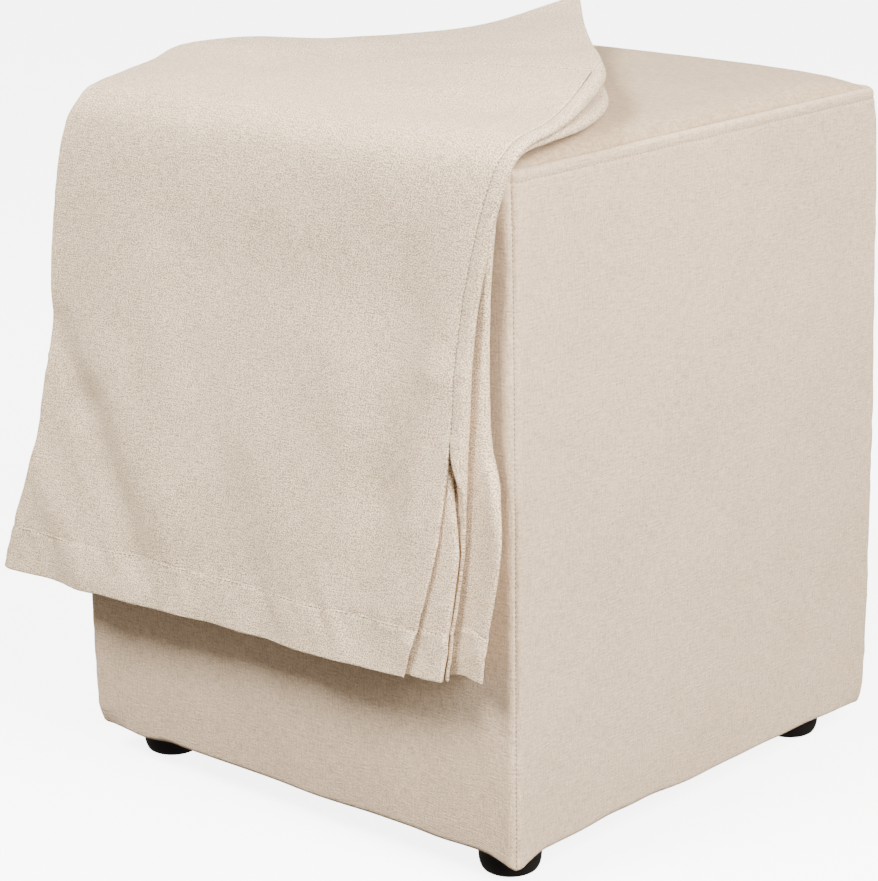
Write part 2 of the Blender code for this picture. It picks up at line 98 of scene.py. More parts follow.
# %% Sockets as expressions
class Value:
    def __init__(self, tree, socket):
        self.tree = tree
        self.socket = socket

    def math(self, operation, *others):
        sockets = dict(enumerate((self, *others)))
        return self.tree.node("ShaderNodeMath", {"operation": operation}, sockets)

    def __add__(self, other):
        return self.math("ADD", other)

    def __sub__(self, other):
        return self.math("SUBTRACT", other)

    def __mul__(self, other):
        return self.math("MULTIPLY", other)

    def __truediv__(self, other):
        return self.math("DIVIDE", other)

    def sine(self):
        return self.math("SINE")

    def clamped(self, low, high):
        return self.math("MAXIMUM", low).math("MINIMUM", high)


class Tree:
    def __init__(self, tree):
        self.tree = tree

    def node(self, kind, settings, sockets, output=0):
        made = self.tree.nodes.new(kind)
        for name, setting in settings.items():
            setattr(made, name, setting)
        for key, value in sockets.items():
            self.join(value, made.inputs[key])
        return Value(self, made.outputs[output])

    def join(self, value, socket):
        if isinstance(value, Value):
            self.tree.links.new(value.socket, socket)
        else:
            socket.default_value = value


class Finish(Tree):
    def __init__(self, name):
        self.material = bpy.data.materials.new(name)
        self.material.use_nodes = True
        super().__init__(self.material.node_tree)
        self.shader = self.tree.nodes["Principled BSDF"]

    def vector(self, x, y, z):
        return self.node("ShaderNodeCombineXYZ", {}, {"X": x, "Y": y, "Z": z})

    def noise(self, vector, detail=2.0, scale=1.0):
        sockets = {"Vector": vector, "Scale": scale, "Detail": detail}
        return self.node("ShaderNodeTexNoise", {}, sockets)

    def bump(self, strength, distance, height):
        sockets = {"Strength": strength, "Distance": distance, "Height": height}
        return self.node("ShaderNodeBump", {}, sockets)

    def mix(self, share, first, second):
        settings = {"data_type": "RGBA"}
        sockets = {"Factor": share, 6: first, 7: second}
        return self.node("ShaderNodeMix", settings, sockets, output=2)

    def dress(self, looks):
        for name, look in looks.items():
            self.join(look, self.shader.inputs[name])
        return self.material


# %% [markdown]
# ## The woven cloth
#
# Each piece of cloth carries a map in metres: its x runs across the cloth and its y along it. The
# weave is built on that map, so that threads follow every fold. Warp and weft are long narrow
# noise, each thread a little lighter or darker and with thick places, and a finer noise gives the
# speckled grain of slubby yarn. A sine in both directions makes a dot at every crossing, and a
# slower noise leads the dots off their straight rows. The slowest noises give the pale and dark
# patches of washed cloth.

# %% Cloth material
THREAD = 0.0013
SLUB_LENGTH = THREAD * 6
STRAY_SIZE, STRAY_TURNS = 0.003, 9.0
PATCH_SIZE = 0.030
WASH_SIZE = 0.110
THREAD_TONE, PATCH_TONE, WASH_TONE = 0.9, 0.30, 0.22
Cloth = namedtuple("Cloth", "light dark grain speckle dots seed")


def cloth_finish(name, cloth):
    finish = Finish(name)
    place = finish.node("ShaderNodeUVMap", {"uv_map": "cloth"}, {})
    x = finish.node("ShaderNodeSeparateXYZ", {}, {0: place})
    y = finish.node("ShaderNodeSeparateXYZ", {}, {0: place}, output=1)

    def blotches(across, along, step, detail=1.0):
        return finish.noise(finish.vector(x / across, y / along, cloth.seed + step), detail)

    warp = blotches(THREAD, SLUB_LENGTH, 0)
    weft = blotches(SLUB_LENGTH, THREAD, 5)
    speckle = blotches(cloth.grain, cloth.grain, 9)
    astray = [blotches(STRAY_SIZE, STRAY_SIZE, step) * STRAY_TURNS for step in (21, 25)]
    turns = 2 * math.pi / THREAD
    dots = (x * turns + astray[0]).sine() * (y * turns + astray[1]).sine()
    patches = blotches(PATCH_SIZE, PATCH_SIZE, 13, 3.0)
    wash = blotches(WASH_SIZE, WASH_SIZE, 17)
    slubs = (warp + weft - 1.0) * THREAD_TONE
    threads = slubs + (speckle - 0.5) * cloth.speckle + dots * cloth.dots
    tone = threads + (patches - 0.5) * PATCH_TONE + (wash - 0.5) * WASH_TONE + 0.5
    height = dots * 0.25 + (warp + weft) * 0.8 + speckle * 0.9
    return finish.dress({
        "Base Color": finish.mix(tone.clamped(0.0, 1.0), (*cloth.dark, 1.0), (*cloth.light, 1.0)),
        "Normal": finish.bump(0.7, 0.0005, height),
        "Roughness": (tone * -0.08 + 0.97).clamped(0.8, 1.0),
        "Specular IOR Level": 0.15,
        "Sheen Weight": 0.10,
        "Sheen Roughness": 0.60,
        "Sheen Tint": (1.0, 0.95, 0.88, 1.0),
    })


SIDE_CLOTH = Cloth((0.735, 0.556, 0.388), (0.407, 0.290, 0.188), 0.0012, 1.4, 0.14, 1.0)
# The top panel's cloth is the sides' cloth made darker: painted shade on the top.
TOP_PANEL_PAINTED_SHADE_CLOTH = Cloth((0.565, 0.416, 0.268), (0.305, 0.212, 0.127), 0.0014, 1.2, 0.08, 11.0)
LOOSE_CLOTH = Cloth((0.950, 0.736, 0.512), (0.280, 0.201, 0.124), 0.0008, 4.8, 0.35, 31.0)
UPHOLSTERY = cloth_finish("upholstery_weave", SIDE_CLOTH)
PAINTED_SHADE_TOP_FINISH = cloth_finish("upholstery_weave_on_top", TOP_PANEL_PAINTED_SHADE_CLOTH)
COVER_CLOTH = cloth_finish("cover_weave", LOOSE_CLOTH)
print("thread pitch in mm", THREAD * 1000)


# %% Thread and glide materials
TWIST_SCALE = 2500.0
PLASTIC_GRAIN_SCALE = 900.0
SCUFF_SCALE = 60.0
TWIST_SHADE = 0.8


def thread_finish(name, colour):
    finish = Finish(name)
    place = finish.node("ShaderNodeTexCoord", {}, {}, output=3)
    twist = finish.noise(place, 2.0, TWIST_SCALE)
    shade = finish.mix(twist, (*[c * TWIST_SHADE for c in colour], 1.0), (*colour, 1.0))
    return finish.dress({"Base Color": shade, "Roughness": 0.8, "Sheen Weight": 0.2})


def plastic_finish(name):
    finish = Finish(name)
    place = finish.node("ShaderNodeTexCoord", {}, {}, output=3)
    grain = finish.noise(place, 3.0, PLASTIC_GRAIN_SCALE)
    scuffs = finish.noise(place, 4.0, SCUFF_SCALE)
    return finish.dress({
        "Base Color": finish.mix(
            scuffs, (0.0045, 0.0036, 0.0034, 1.0), (0.011, 0.009, 0.0085, 1.0)
        ),
        "Roughness": scuffs * 0.30 + 0.30,
        "Specular IOR Level": 0.25,
        "Normal": finish.bump(0.2, 0.0001, grain),
    })


STOOL_THREAD = thread_finish("stool_thread", (0.26, 0.195, 0.14))
# The seam thread is darker than the other threads: painted shade of the pits that the seams pull
# into the cloth.
SEAM_PAINTED_SHADE_THREAD = thread_finish("seam_thread", (0.15, 0.112, 0.08))
COVER_THREAD = thread_finish("cover_thread", (0.21, 0.16, 0.11))
PALE_THREAD = thread_finish("bar_tack_thread", (0.66, 0.53, 0.40))
PLASTIC = plastic_finish("moulded_black_plastic")
print("materials", [material.name for material in bpy.data.materials])


# %% [markdown]
# ## Tools for the pieces
#
# `grid_mesh` lays a grid of a given number of columns and rows on a function that gives each
# crossing's place, and stores the cloth map beside it. `graded` spaces grid lines finely at an
# edge and coarsely away from it. `smooth_value` draws a smooth curve through one column of a
# table, read at any place between its rows. A `Ridge` is a soft line of relief beside a seam or
# an edge: its height, its place from there and its half width. A groove's height is negative.

# %% Grid pieces
def shown(bm, name, finish):
    mesh = bpy.data.meshes.new(name)
    bm.to_mesh(mesh)
    bm.free()
    mesh.materials.append(finish)
    mesh.shade_smooth()
    return placed(name, mesh)


def add_piece(bm, name, finish):
    piece = shown(bm, name, finish)
    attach(piece, "root")
    return piece


def grid_mesh(columns, rows, place, cloth_place):
    """A bmesh grid of columns by rows crossings, on place(i, j), with its map in metres."""
    bm = bmesh.new()
    bmesh.ops.create_grid(bm, x_segments=columns - 1, y_segments=rows - 1, size=1.0)
    cloth_map = bm.loops.layers.uv.new("cloth")
    crossing = {}
    for vert in bm.verts:
        i = round((vert.co.x + 1) / 2 * (columns - 1))
        j = round((vert.co.y + 1) / 2 * (rows - 1))
        crossing[vert] = (i, j)
    for face in bm.faces:
        for loop in face.loops:
            loop[cloth_map].uv = cloth_place(*crossing[loop.vert])
    for vert, (i, j) in crossing.items():
        vert.co = place(i, j)
    return bm


def graded(length, fine, coarse, growth=1.3):
    """Offsets from an edge to length: steps that grow from fine to coarse."""
    offsets = [0.0]
    step = fine
    while offsets[-1] < length:
        offsets.append(offsets[-1] + step)
        step = min(step * growth, coarse)
    share = length / offsets[-1]
    return [offset * share for offset in offsets]


def both_ways(half_offsets, half):
    """Grid lines from -half to +half, from the offsets of the lines from each edge."""
    left = [offset - half for offset in half_offsets]
    return left + [-place for place in reversed(left[:-1])]


# %% Relief and tables
def bump_at(distance, width):
    return math.exp(-((distance / width) ** 2))


Ridge = namedtuple("Ridge", "height place width")


def ridge_at(distance, ridge):
    return ridge.height * bump_at(distance - ridge.place, ridge.width)


def ripple(x, y, z):
    return noise.noise(Vector((x, y, z)))


def clipped(share):
    return min(max(share, 0.0), 1.0)


def spaced(start, end, count):
    """So many values from start to end."""
    return [start + (end - start) * i / (count - 1) for i in range(count)]


def metres(kind, rows):
    """A table's rows, written in millimetres, in metres."""
    return [kind(*(value / 1000 for value in row)) for row in rows]


def smooth_value(table, column, place):
    rows = [(row[0], getattr(row, column)) for row in table]
    if place <= rows[0][0]:
        return rows[0][1]
    if place >= rows[-1][0]:
        return rows[-1][1]
    at = max(i for i, row in enumerate(rows[:-1]) if row[0] <= place)
    slopes = []
    for i in (at, at + 1):
        before = rows[max(i - 1, 0)]
        after = rows[min(i + 1, len(rows) - 1)]
        slopes.append((after[1] - before[1]) / (after[0] - before[0]))
    (start, first), (end, second) = rows[at], rows[at + 1]
    length = end - start
    t = (place - start) / length
    return (
        first * (2 * t**3 - 3 * t**2 + 1)
        + second * (3 * t**2 - 2 * t**3)
        + length * slopes[0] * (t**3 - 2 * t**2 + t)
        + length * slopes[1] * (t**3 - t**2)
    )


# %% [markdown]
# ## The stool's sleeve
#
# Four side panels make the sleeve. Its plan is a square with rounded corners, and each corner
# has a seam down its middle that pulls the cloth in. One profile, from the middle of the
# underside to the top, gives every column its rolled lower edge, its bowed wall and the strip
# that is stitched down under the top seam. The real one is stuffed by hand: its sides swell and
# lean a little, its corners hang lower than its edges, and its lower edge sags here and there.

# %% Sleeve sizes
STOOL_HALF = 0.185
FOOT_HEIGHT = 0.0205
SEAM_HEIGHT = 0.4450
FACE_SWELL = 0.0020
EDGE_ROLL = 0.0085
BASE_ROUND = 0.0034
RIM_ROUND = 0.0026
TOPSTITCH_DROP = 0.0068
WALL = SEAM_HEIGHT - FOOT_HEIGHT
WALL_SPLIT = 0.21
UNDERSIDE_INSETS = (0.184, 0.140, 0.090, 0.050, 0.030, 0.018, 0.011, 0.007)
SEAM_TUCK = 0.0012

# Relief beside the corner seams and, counted downwards, at the topstitch, and where it fades
CORNER_GROOVE = Ridge(-0.0008, 0.0, 0.0010)
CORNER_SHOULDER = Ridge(0.0002, 0.0040, 0.0026)
CORNER_PUCKERS = Ridge(0.0005, 0.0030, 0.0060)
TOPSTITCH_GROOVE = Ridge(-0.0006, 0.0, 0.0008)
STRIP = Ridge(0.00035, -0.0033, 0.0024)
BELOW_STRIP = Ridge(0.0002, 0.0035, 0.0040)
CORNER_CALM = 0.010
UNDERSIDE_CALM = 0.012

Side = namedtuple("Side", "share swell radius lean")
Corner = namedtuple("Corner", "x_side y_side lift droop length")
Sag = namedtuple("Sag", "run width lift")

# The sides by share of their height: how far they stand out, how round their corners are in
# plan, and how far all of it leans to the right and the rear
SIDES = (
    Side(0.000, 0.0019, 0.006, 0.0012),
    Side(0.030, 0.0024, 0.007, 0.0012),
    Side(0.100, 0.0031, 0.007, 0.0012),
    Side(0.250, 0.0034, 0.007, 0.0012),
    Side(0.500, 0.0033, 0.007, 0.0012),
    Side(0.720, 0.0023, 0.007, 0.0011),
    Side(0.880, 0.0021, 0.007, 0.0008),
    Side(0.950, 0.0018, 0.009, 0.0005),
    Side(1.000, 0.0010, 0.012, 0.0002),
)

# How far the lower edge rises towards each corner, and how far, over which length, its tip hangs
CORNERS = (
    Corner(1, -1, 0.0036, 0.0086, 0.027),
    Corner(1, 1, 0.0006, 0.0030, 0.030),
    Corner(-1, -1, 0.0020, 0.0030, 0.090),
    Corner(-1, 1, 0.0020, 0.0040, 0.040),
)

# Where the lower edge of the front, right, rear and left side rises or sags, in millimetres
SAGS = [metres(Sag, rows) for rows in (
    ((-140, 13, -1.8), (-116, 10, 1.2), (20, 50, -1.4), (125, 18, -1.6)),
    ((-92, 22, 2.6), (-55, 18, 2), (-5, 26, -1.3), (90, 20, -0.9), (185, 60, -3.8)),
    ((-185, 60, -3.8), (-70, 40, 1.2), (50, 30, -1.2)),
    ((-40, 40, -1), (80, 30, 1.2)),
)]

# How far each corner is drawn in at its foot: front left, front right, rear right, rear left
CORNER_TUCKS = (0.0042, 0.0, 0.0042, 0.0042)
TUCK_HEIGHT = 0.017
TUCK_WIDTH = 0.022
SIDE_RUNS = both_ways(graded(STOOL_HALF, 0.0005, 0.0062), STOOL_HALF)


# %% Sleeve shape
@functools.cache
def side_at(height):
    share = clipped(height / WALL)
    columns = ("radius", "swell", "lean")
    return (share, *(smooth_value(SIDES, column, share) for column in columns))


def plan(run, radius):
    """A place on one side's plan, facing -Y, its place on the square, and its way out."""
    straight = STOOL_HALF - radius
    distance = abs(run) / STOOL_HALF * (straight + radius * math.pi / 4)
    if distance <= straight:
        return Vector((math.copysign(distance, run), -STOOL_HALF)), distance, Vector((0, -1))
    angle = (distance - straight) / radius
    away = Vector((math.copysign(math.sin(angle), run), -math.cos(angle)))
    corner = Vector((math.copysign(straight, run), -straight))
    return corner + away * radius, straight + radius * math.tan(angle), away


def base_lift(x, y):
    """How far the lower edge rises, and how far its corners hang."""
    from_edge = STOOL_HALF - max(abs(x), abs(y))
    from_corner = STOOL_HALF - min(abs(x), abs(y))
    lift = 0.0
    for corner in CORNERS:
        near_x = (1 + corner.x_side * x / STOOL_HALF) / 2
        near_y = (1 + corner.y_side * y / STOOL_HALF) / 2
        lift += corner.lift * near_x * near_y
        if near_x > 0.5 and near_y > 0.5:
            lift -= corner.droop * max(1 - from_corner / corner.length, 0.0) ** 1.2
    return lift * max(1 - from_edge / EDGE_ROLL, 0.0)


def sagging(side, run, inset):
    rise = sum(sag.lift * bump_at(run - sag.run, sag.width) for sag in SAGS[side])
    return rise * max(1 - inset / EDGE_ROLL, 0.0)


def sleeve_profile():
    """(inset, height) from the middle of the underside, up the wall, to under the top panel."""
    under = [(inset, 0.0) for inset in UNDERSIDE_INSETS]
    steps = [math.pi / 2 * i / 8 for i in range(9)]
    roll = [(BASE_ROUND * (1 - math.sin(a)), BASE_ROUND * (1 - math.cos(a))) for a in steps]
    lower = [(0.0, BASE_ROUND + h) for h in graded(WALL_SPLIT, 0.002, 0.0078)[1:]]
    top_part = graded(WALL - WALL_SPLIT - BASE_ROUND - RIM_ROUND, 0.0005, 0.0078, 1.15)
    upper = [(0.0, WALL - RIM_ROUND - h) for h in reversed(top_part[:-1])]
    edge = []
    for a in [math.pi / 2 * i / 6 for i in range(1, 7)]:
        edge.append((RIM_ROUND * (1 - math.cos(a)), WALL - RIM_ROUND * (1 - math.sin(a))))
    tucked = [(inset, WALL - SEAM_TUCK) for inset in (0.0060, 0.060, UNDERSIDE_INSETS[0])]
    return under + roll + lower + upper + edge + [(0.0032, WALL - SEAM_TUCK / 3)] + tucked


def seam_relief(from_seam, height, side):
    """How the cloth stands off the wall beside a corner seam."""
    pucker = ripple(side * 7.3, height / 0.010, 0.0)
    shoulder = ridge_at(from_seam, CORNER_SHOULDER) * (1 + pucker)
    pulled = ridge_at(from_seam, CORNER_PUCKERS) * pucker
    return ridge_at(from_seam, CORNER_GROOVE) + shoulder + pulled


def wall_relief(run, height, side):
    """Slow unevenness of the stretched cloth, and the strip stitched down at the top."""
    free = min((STOOL_HALF - abs(run)) / CORNER_CALM, 1.0)
    slow = ripple(run / 0.075, height / 0.095, side * 3.1) * 0.0006
    fine = ripple(run / 0.022, height / 0.030, side * 5.7) * 0.00014
    loose = ripple(run / 0.045, 0.3, side * 1.7) * 0.0010 * max(0.0, 1 - height / 0.060) ** 2
    gathers = ripple(run / 0.010, side * 2.3, 0.0) * free
    from_stitch = WALL - TOPSTITCH_DROP - height
    strip = ridge_at(from_stitch, STRIP) * (1 + gathers * 0.857)
    below = ridge_at(from_stitch, BELOW_STRIP) * (1 + gathers * 1.4)
    groove = ridge_at(from_stitch, TOPSTITCH_GROOVE)
    return (slow + fine + loose) * free + groove + strip + below


def sleeve_point(side, run, inset, height):
    share, radius, side_swell, lean = side_at(height)
    place, square_run, away = plan(run, radius)
    seam = (side + (run > 0)) % 4
    from_seam = STOOL_HALF - abs(run)
    tuck = CORNER_TUCKS[seam] * max(0.0, 1 - height / TUCK_HEIGHT) ** 2
    relief = seam_relief(from_seam, height, seam) + wall_relief(run, height, side)
    relief = (relief - tuck * bump_at(from_seam, TUCK_WIDTH)) * clipped(1 - inset / UNDERSIDE_CALM)
    keep = 1 - inset / STOOL_HALF
    turn_about = Matrix.Rotation(side * math.pi / 2, 2)
    square = turn_about @ Vector((math.copysign(square_run, run), -STOOL_HALF)) * keep
    bow = math.sin(math.pi * share) ** 0.6 if 0 < share < 1 else 0.0
    beside = min(abs(square.x), abs(square.y)) / STOOL_HALF
    swell = side_swell + FACE_SWELL * bow * (1 - beside**2)
    lift = (base_lift(*square) + sagging(side, run, inset)) * (1 - share) ** 12
    x, y = turn_about @ (place * keep * (1 + swell / STOOL_HALF) + away * relief)
    return CENTRE + Vector((x + lean, y + lean, FOOT_HEIGHT + height + lift))


# %% Sleeve
PROFILE = sleeve_profile()
PROFILE_RUN = [0.0]
for (inset_a, height_a), (inset_b, height_b) in zip(PROFILE, PROFILE[1:]):
    PROFILE_RUN.append(PROFILE_RUN[-1] + math.hypot(inset_b - inset_a, height_b - height_a))

sleeve = bmesh.new()
for side in range(4):
    panel = grid_mesh(
        len(SIDE_RUNS),
        len(PROFILE),
        lambda i, j: sleeve_point(side, SIDE_RUNS[i], *PROFILE[j]),
        lambda i, j: (SIDE_RUNS[i] + side * 0.5, PROFILE_RUN[j]),
    )
    holder = bpy.data.meshes.new("side_panel")
    panel.to_mesh(holder)
    panel.free()
    sleeve.from_mesh(holder)
    bpy.data.meshes.remove(holder)
bmesh.ops.remove_doubles(sleeve, verts=sleeve.verts, dist=0.00005)
open_edges = [edge for edge in sleeve.edges if edge.is_boundary]
print("open edges between the four panels", len(open_edges))
bmesh.ops.holes_fill(sleeve, edges=open_edges)
bmesh.ops.recalc_face_normals(sleeve, faces=sleeve.faces)
sleeve = add_piece(sleeve, "stool_sleeve", UPHOLSTERY)
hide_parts("stool_body")
print("sleeve faces", len(sleeve.data.polygons), "columns a side", len(SIDE_RUNS))

# %% [markdown]
# ## The top panel
#
# A grid, fine at its edges, rolls up out of the seam to a very low crown, and falls away towards
# its corners. Its edge starts inside the sleeve's rim, so that the seam is a closed soft valley.
# The seam draws the edge down unevenly, which leaves short soft puckers.

# %% Top panel
TOP_INSET = 0.0030
TOP_START = SEAM_HEIGHT - 0.0008
TOP_RISE = 0.0095
TOP_ROLL_LENGTH = 0.0052
TOP_CORNER_LENGTH = 0.026
TOP_CORNER_RADIUS = 0.0105
TOP_CROWN = 0.0034
TOP_PUCKERS = Ridge(0.00045, 0.006, 0.006)
TOP_TUCK = 0.02
TOP_HALF = STOOL_HALF - TOP_INSET
TOP_LINES = both_ways(graded(TOP_HALF, 0.0007, 0.0065), TOP_HALF)


def top_point(i, j):
    x, y = TOP_LINES[i], TOP_LINES[j]
    from_sides = (TOP_HALF - abs(x), TOP_HALF - abs(y))
    from_edge = min(from_sides)
    roll = TOP_RISE
    for distance in from_sides:
        roll *= 1 - math.exp(-distance / TOP_ROLL_LENGTH)
    roll *= 1 - math.exp(-(math.hypot(*from_sides) + 0.004) / TOP_CORNER_LENGTH)
    crown = TOP_CROWN * (1 - (x / TOP_HALF) ** 2) * (1 - (y / TOP_HALF) ** 2)
    straight = TOP_HALF - TOP_CORNER_RADIUS
    over = Vector((max(abs(x) - straight, 0.0), max(abs(y) - straight, 0.0)))
    if over.x > 0 and over.y > 0:
        over *= max(over) / over.length
        x = math.copysign(straight + over.x, x)
        y = math.copysign(straight + over.y, y)
    beside = x if abs(y) > abs(x) else y
    pucker = ripple(beside / 0.012, x + y, 1.3) * ridge_at(from_edge, TOP_PUCKERS)
    uneven = ripple(x / 0.060, y / 0.060, 4.0) * 0.0006
    relief = pucker + uneven * min(from_edge / 0.03, 1.0)
    return CENTRE + Vector((x, y, TOP_START + roll + crown + relief))


count = len(TOP_LINES)
top = grid_mesh(count, count, top_point, lambda i, j: (TOP_LINES[i] + 2.5, TOP_LINES[j]))
rim = [edge for edge in top.edges if edge.is_boundary]
tucked = bmesh.ops.extrude_edge_only(top, edges=rim)["geom"]
for vert in tucked:
    if isinstance(vert, bmesh.types.BMVert):
        vert.co += (CENTRE - vert.co) * Vector((1, 1, 0)) * TOP_TUCK
bmesh.ops.contextual_create(top, geom=[edge for edge in top.edges if edge.is_boundary])
bmesh.ops.recalc_face_normals(top, faces=top.faces)
# The top panel's darker cloth is painted shade.
top = add_piece(top, "stool_top", PAINTED_SHADE_TOP_FINISH)
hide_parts("stool_top_panel")
print("top panel grid", count, "by", count)

# %% [markdown]
# ## Stitches
#
# Every row of stitching is a chain of small spindles that lie along a line of points, half sunk
# in the cloth. One function makes them for the stool and for the cover. A topstitch is long and
# lies on top. The stitches of a seam are short and sunk, because the seam pulls them in, and their
# thread is darker than the others: painted shade of the seam's pits.

# %% Stitch maker
Stitch = namedtuple("Stitch", "pitch length radius")
TOPSTITCH = Stitch(0.0034, 0.0026, 0.00030)
CORNER_STITCH = Stitch(0.0030, 0.0024, 0.00034)
SEAM_STITCH = Stitch(0.0028, 0.0017, 0.00032)
TACK_STITCH = Stitch(0.0022, 0.0022, 0.00032)


def stitch_row(bm, points, stitch):
    """Adds spindle stitches along points, each at its pitch."""
    travelled, due = 0.0, stitch.pitch / 2
    size = Matrix.Diagonal((stitch.length / 2, stitch.radius, stitch.radius, 1))
    for start, end in zip(points, points[1:]):
        step = (end - start).length
        while step > 0 and due <= travelled + step:
            middle = start.lerp(end, (due - travelled) / step)
            turn_to = (end - start).to_track_quat("X", "Z").to_matrix().to_4x4()
            matrix = Matrix.Translation(middle) @ turn_to @ size
            bmesh.ops.create_uvsphere(bm, u_segments=6, v_segments=4, radius=1, matrix=matrix)
            due += stitch.pitch
        travelled += step


def stitched_piece(name, rows, finish, stitch=TOPSTITCH):
    bm = bmesh.new()
    for points in rows:
        stitch_row(bm, points, stitch)
    piece = add_piece(bm, name, finish)
    print(name, "faces", len(piece.data.polygons))
    return piece


# %% Stitches of the stool
stitch_height = WALL - TOPSTITCH_DROP
topstitch_rows = []
corner_rows = []
for side in range(4):
    runs = [run for run in SIDE_RUNS if abs(run) < STOOL_HALF - 0.0015]
    topstitch_rows.append([sleeve_point(side, run, 0.0, stitch_height) for run in runs])
    heights = [0.004 + 0.006 * i for i in range(70)]
    corner_rows.append([sleeve_point(side, STOOL_HALF, 0.0, height) for height in heights])
stitched_piece("stool_topstitch", topstitch_rows, STOOL_THREAD)
stitched_piece("stool_corner_stitches", corner_rows, SEAM_PAINTED_SHADE_THREAD, CORNER_STITCH)

# %% [markdown]
# ## The glides
#
# Each glide is spun from one profile: a wide thin flange under the cloth, and a foot that
# narrows a little and ends in a well rounded lower rim.

# %% Glides
Rim = namedtuple("Rim", "radius height")
GLIDE_PROFILE = metres(Rim, (
    (0, 20.2), (25.2, 20.2), (25.9, 19.9), (26.2, 19.4), (26, 18.9), (25.2, 18.4),
    (21.4, 17.5), (20.4, 16.9), (20, 15.8), (19.8, 10.4), (19.5, 7.2), (18.9, 4.6),
    (18, 2.5), (17, 1.1), (15.6, 0.2), (14, 0), (0, 0),
))
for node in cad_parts:
    if not node.startswith("stool_foot"):
        continue
    low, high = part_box(node)
    middle = Vector(((low[0] + high[0]) / 2, (low[1] + high[1]) / 2, 0))
    bm = bmesh.new()
    verts = [bm.verts.new(middle + Vector((radius, 0, z))) for radius, z in GLIDE_PROFILE]
    edges = [bm.edges.new(pair) for pair in zip(verts, verts[1:])]
    bmesh.ops.spin(
        bm, geom=verts + edges, cent=middle, axis=(0, 0, 1), angle=math.tau, steps=72,
        use_merge=True,
    )
    bmesh.ops.remove_doubles(bm, verts=bm.verts, dist=0.00001)
    bmesh.ops.recalc_face_normals(bm, faces=bm.faces)
    glide = add_piece(bm, node.replace("stool_foot", "glide"), PLASTIC)
    glide.data.set_sharp_from_angle(angle=math.radians(50))
    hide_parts(node)
    print(glide.name, "at", [round(c, 4) for c in middle])

# %% [markdown]
# ## How the cover is folded
#
# The cover hangs in layers: the front panel outside, the back panel inside, and each side panel
# folded in half between them. "along" is measured on the cloth from the hem, up the front of the
# stool, over its edge and back. A table row gives, at one place along, where the outer and the
# inner layer lie, where the folds and edges are, and how the layers share the space between. The
# long tables are written in millimetres, and `metres` turns them into metres.

# %% Cover tables
HEM_CLOTH = 0.0023
HEM = 0.031
CLOTH = 0.0012
SLIT_TOP = 0.152
TOP_SEAM = 0.449
POINT = 0.636
CORNER_STRIP = 0.009
SLIT_SPREAD = 0.070
UNCURLED = 0.55
SIDE_LAP = 0.006
DROP_LENGTH = 0.012
CALM_DEPTH = 0.014
SEAM_GAP = 0.0002
FOLD_SEAM_GAP = 0.0011
BACKING_HALF = 0.036
BACKING_TOP = SLIT_TOP + 0.012
BACKING_RETREAT = 0.009
BACKING_SPREAD = 0.043
BACKING_SEWN_FROM = 0.080
BACKING_SEWN_RUN = 0.060
CREASE_HALF_GAP = 0.006
POINT_HALF_GAP = CREASE_HALF_GAP * 0.3
FLARE_WIDTH = 0.017
FLARE_DEPTH = 0.0075
FLARE_RUN = 0.0064
REAR_LIFT = 0.0065
REAR_LIFT_FROM = 0.148
REAR_LIFT_RUN = 0.032

Face = namedtuple("Face", "along y_left z_left y_right z_right")
Swell = namedtuple("Swell", "along left_drop quarter middle three_quarters")
Edges = namedtuple(
    "Edges", "along front_left front_right fold_left fold_right inner_left inner_right"
)
Levels = namedtuple("Levels", "along side_outer side_inner")

SEAM_ROW, POINT_ROW = TOP_SEAM * 1000, POINT * 1000

# Where the outermost layer lies at its left and right folds
OUTER_FACE = metres(Face, (
    (0, -220, 131, -220, 140),
    (31, -218, 162, -217.5, 171),
    (83, -214.5, 214, -214, 222),
    (152, -210.5, 283, -209.5, 289),
    (225, -206, 356, -205, 360),
    (285, -202.5, 416, -201.5, 420),
    (307, -200, 438, -199.5, 442),
    (319, -196.5, 449, -196, 453),
    (333, -186.8, 459.4, -185.5, 462.5),
    (366, -153, 465.2, -155, 468),
    (407, -114, 468, -110, 477),
    (SEAM_ROW, -80, 472.5, -58, 481.5),
    (480, -48, 473, -27, 484),
    (530, 5, 471, 22, 485),
    (585, 70, 475, 76, 486),
    (POINT_ROW, 130, 490, 132, 490.3),
))

# Where the innermost layer lies, just clear of the stool
INNER_FACE = metres(Face, (
    (0, -195, 135, -193.5, 142),
    (31, -194.5, 166, -193.5, 172),
    (83, -194, 217, -193, 222),
    (152, -193.5, 284, -193, 288),
    (225, -193, 356, -193, 359),
    (285, -192.5, 414, -192.5, 417),
    (307, -192, 434, -192, 436),
    (319, -190.5, 445, -190.5, 446),
    (333, -183, 454.5, -183, 455),
    (366, -153, 457.1, -154, 457.2),
    (407, -114, 457.5, -110, 457.7),
    (SEAM_ROW, -80, 457.7, -58, 458),
    (480, -48, 458.8, -27, 460),
    (530, 5, 460.2, 22, 463),
    (585, 70, 464, 76, 468),
    (POINT_ROW, 129, 483.5, 131, 483.8),
))

# How far all the layers drop at the left fold, over the stool's rounded edge, and how far the
# outer layers stand off the straight line between their folds
SWELLS = metres(Swell, (
    (0, 0, 2, -1, 3),
    (83, 0, 2.5, 0, 2),
    (225, 0, 4, 1, 1),
    (307, 0, 3, 2, 2),
    (333, 2, 1, 1, 0.5),
    (366, 3.6, 1, 0.5, -1),
    (407, 3, 0, -1.5, -1),
    (SEAM_ROW, 2, -1, -4, -1),
    (480, 0, -0.5, -2, 0),
    (530, 0, 0, -1, 1),
    (POINT_ROW, 0, 0, 0, 0),
))

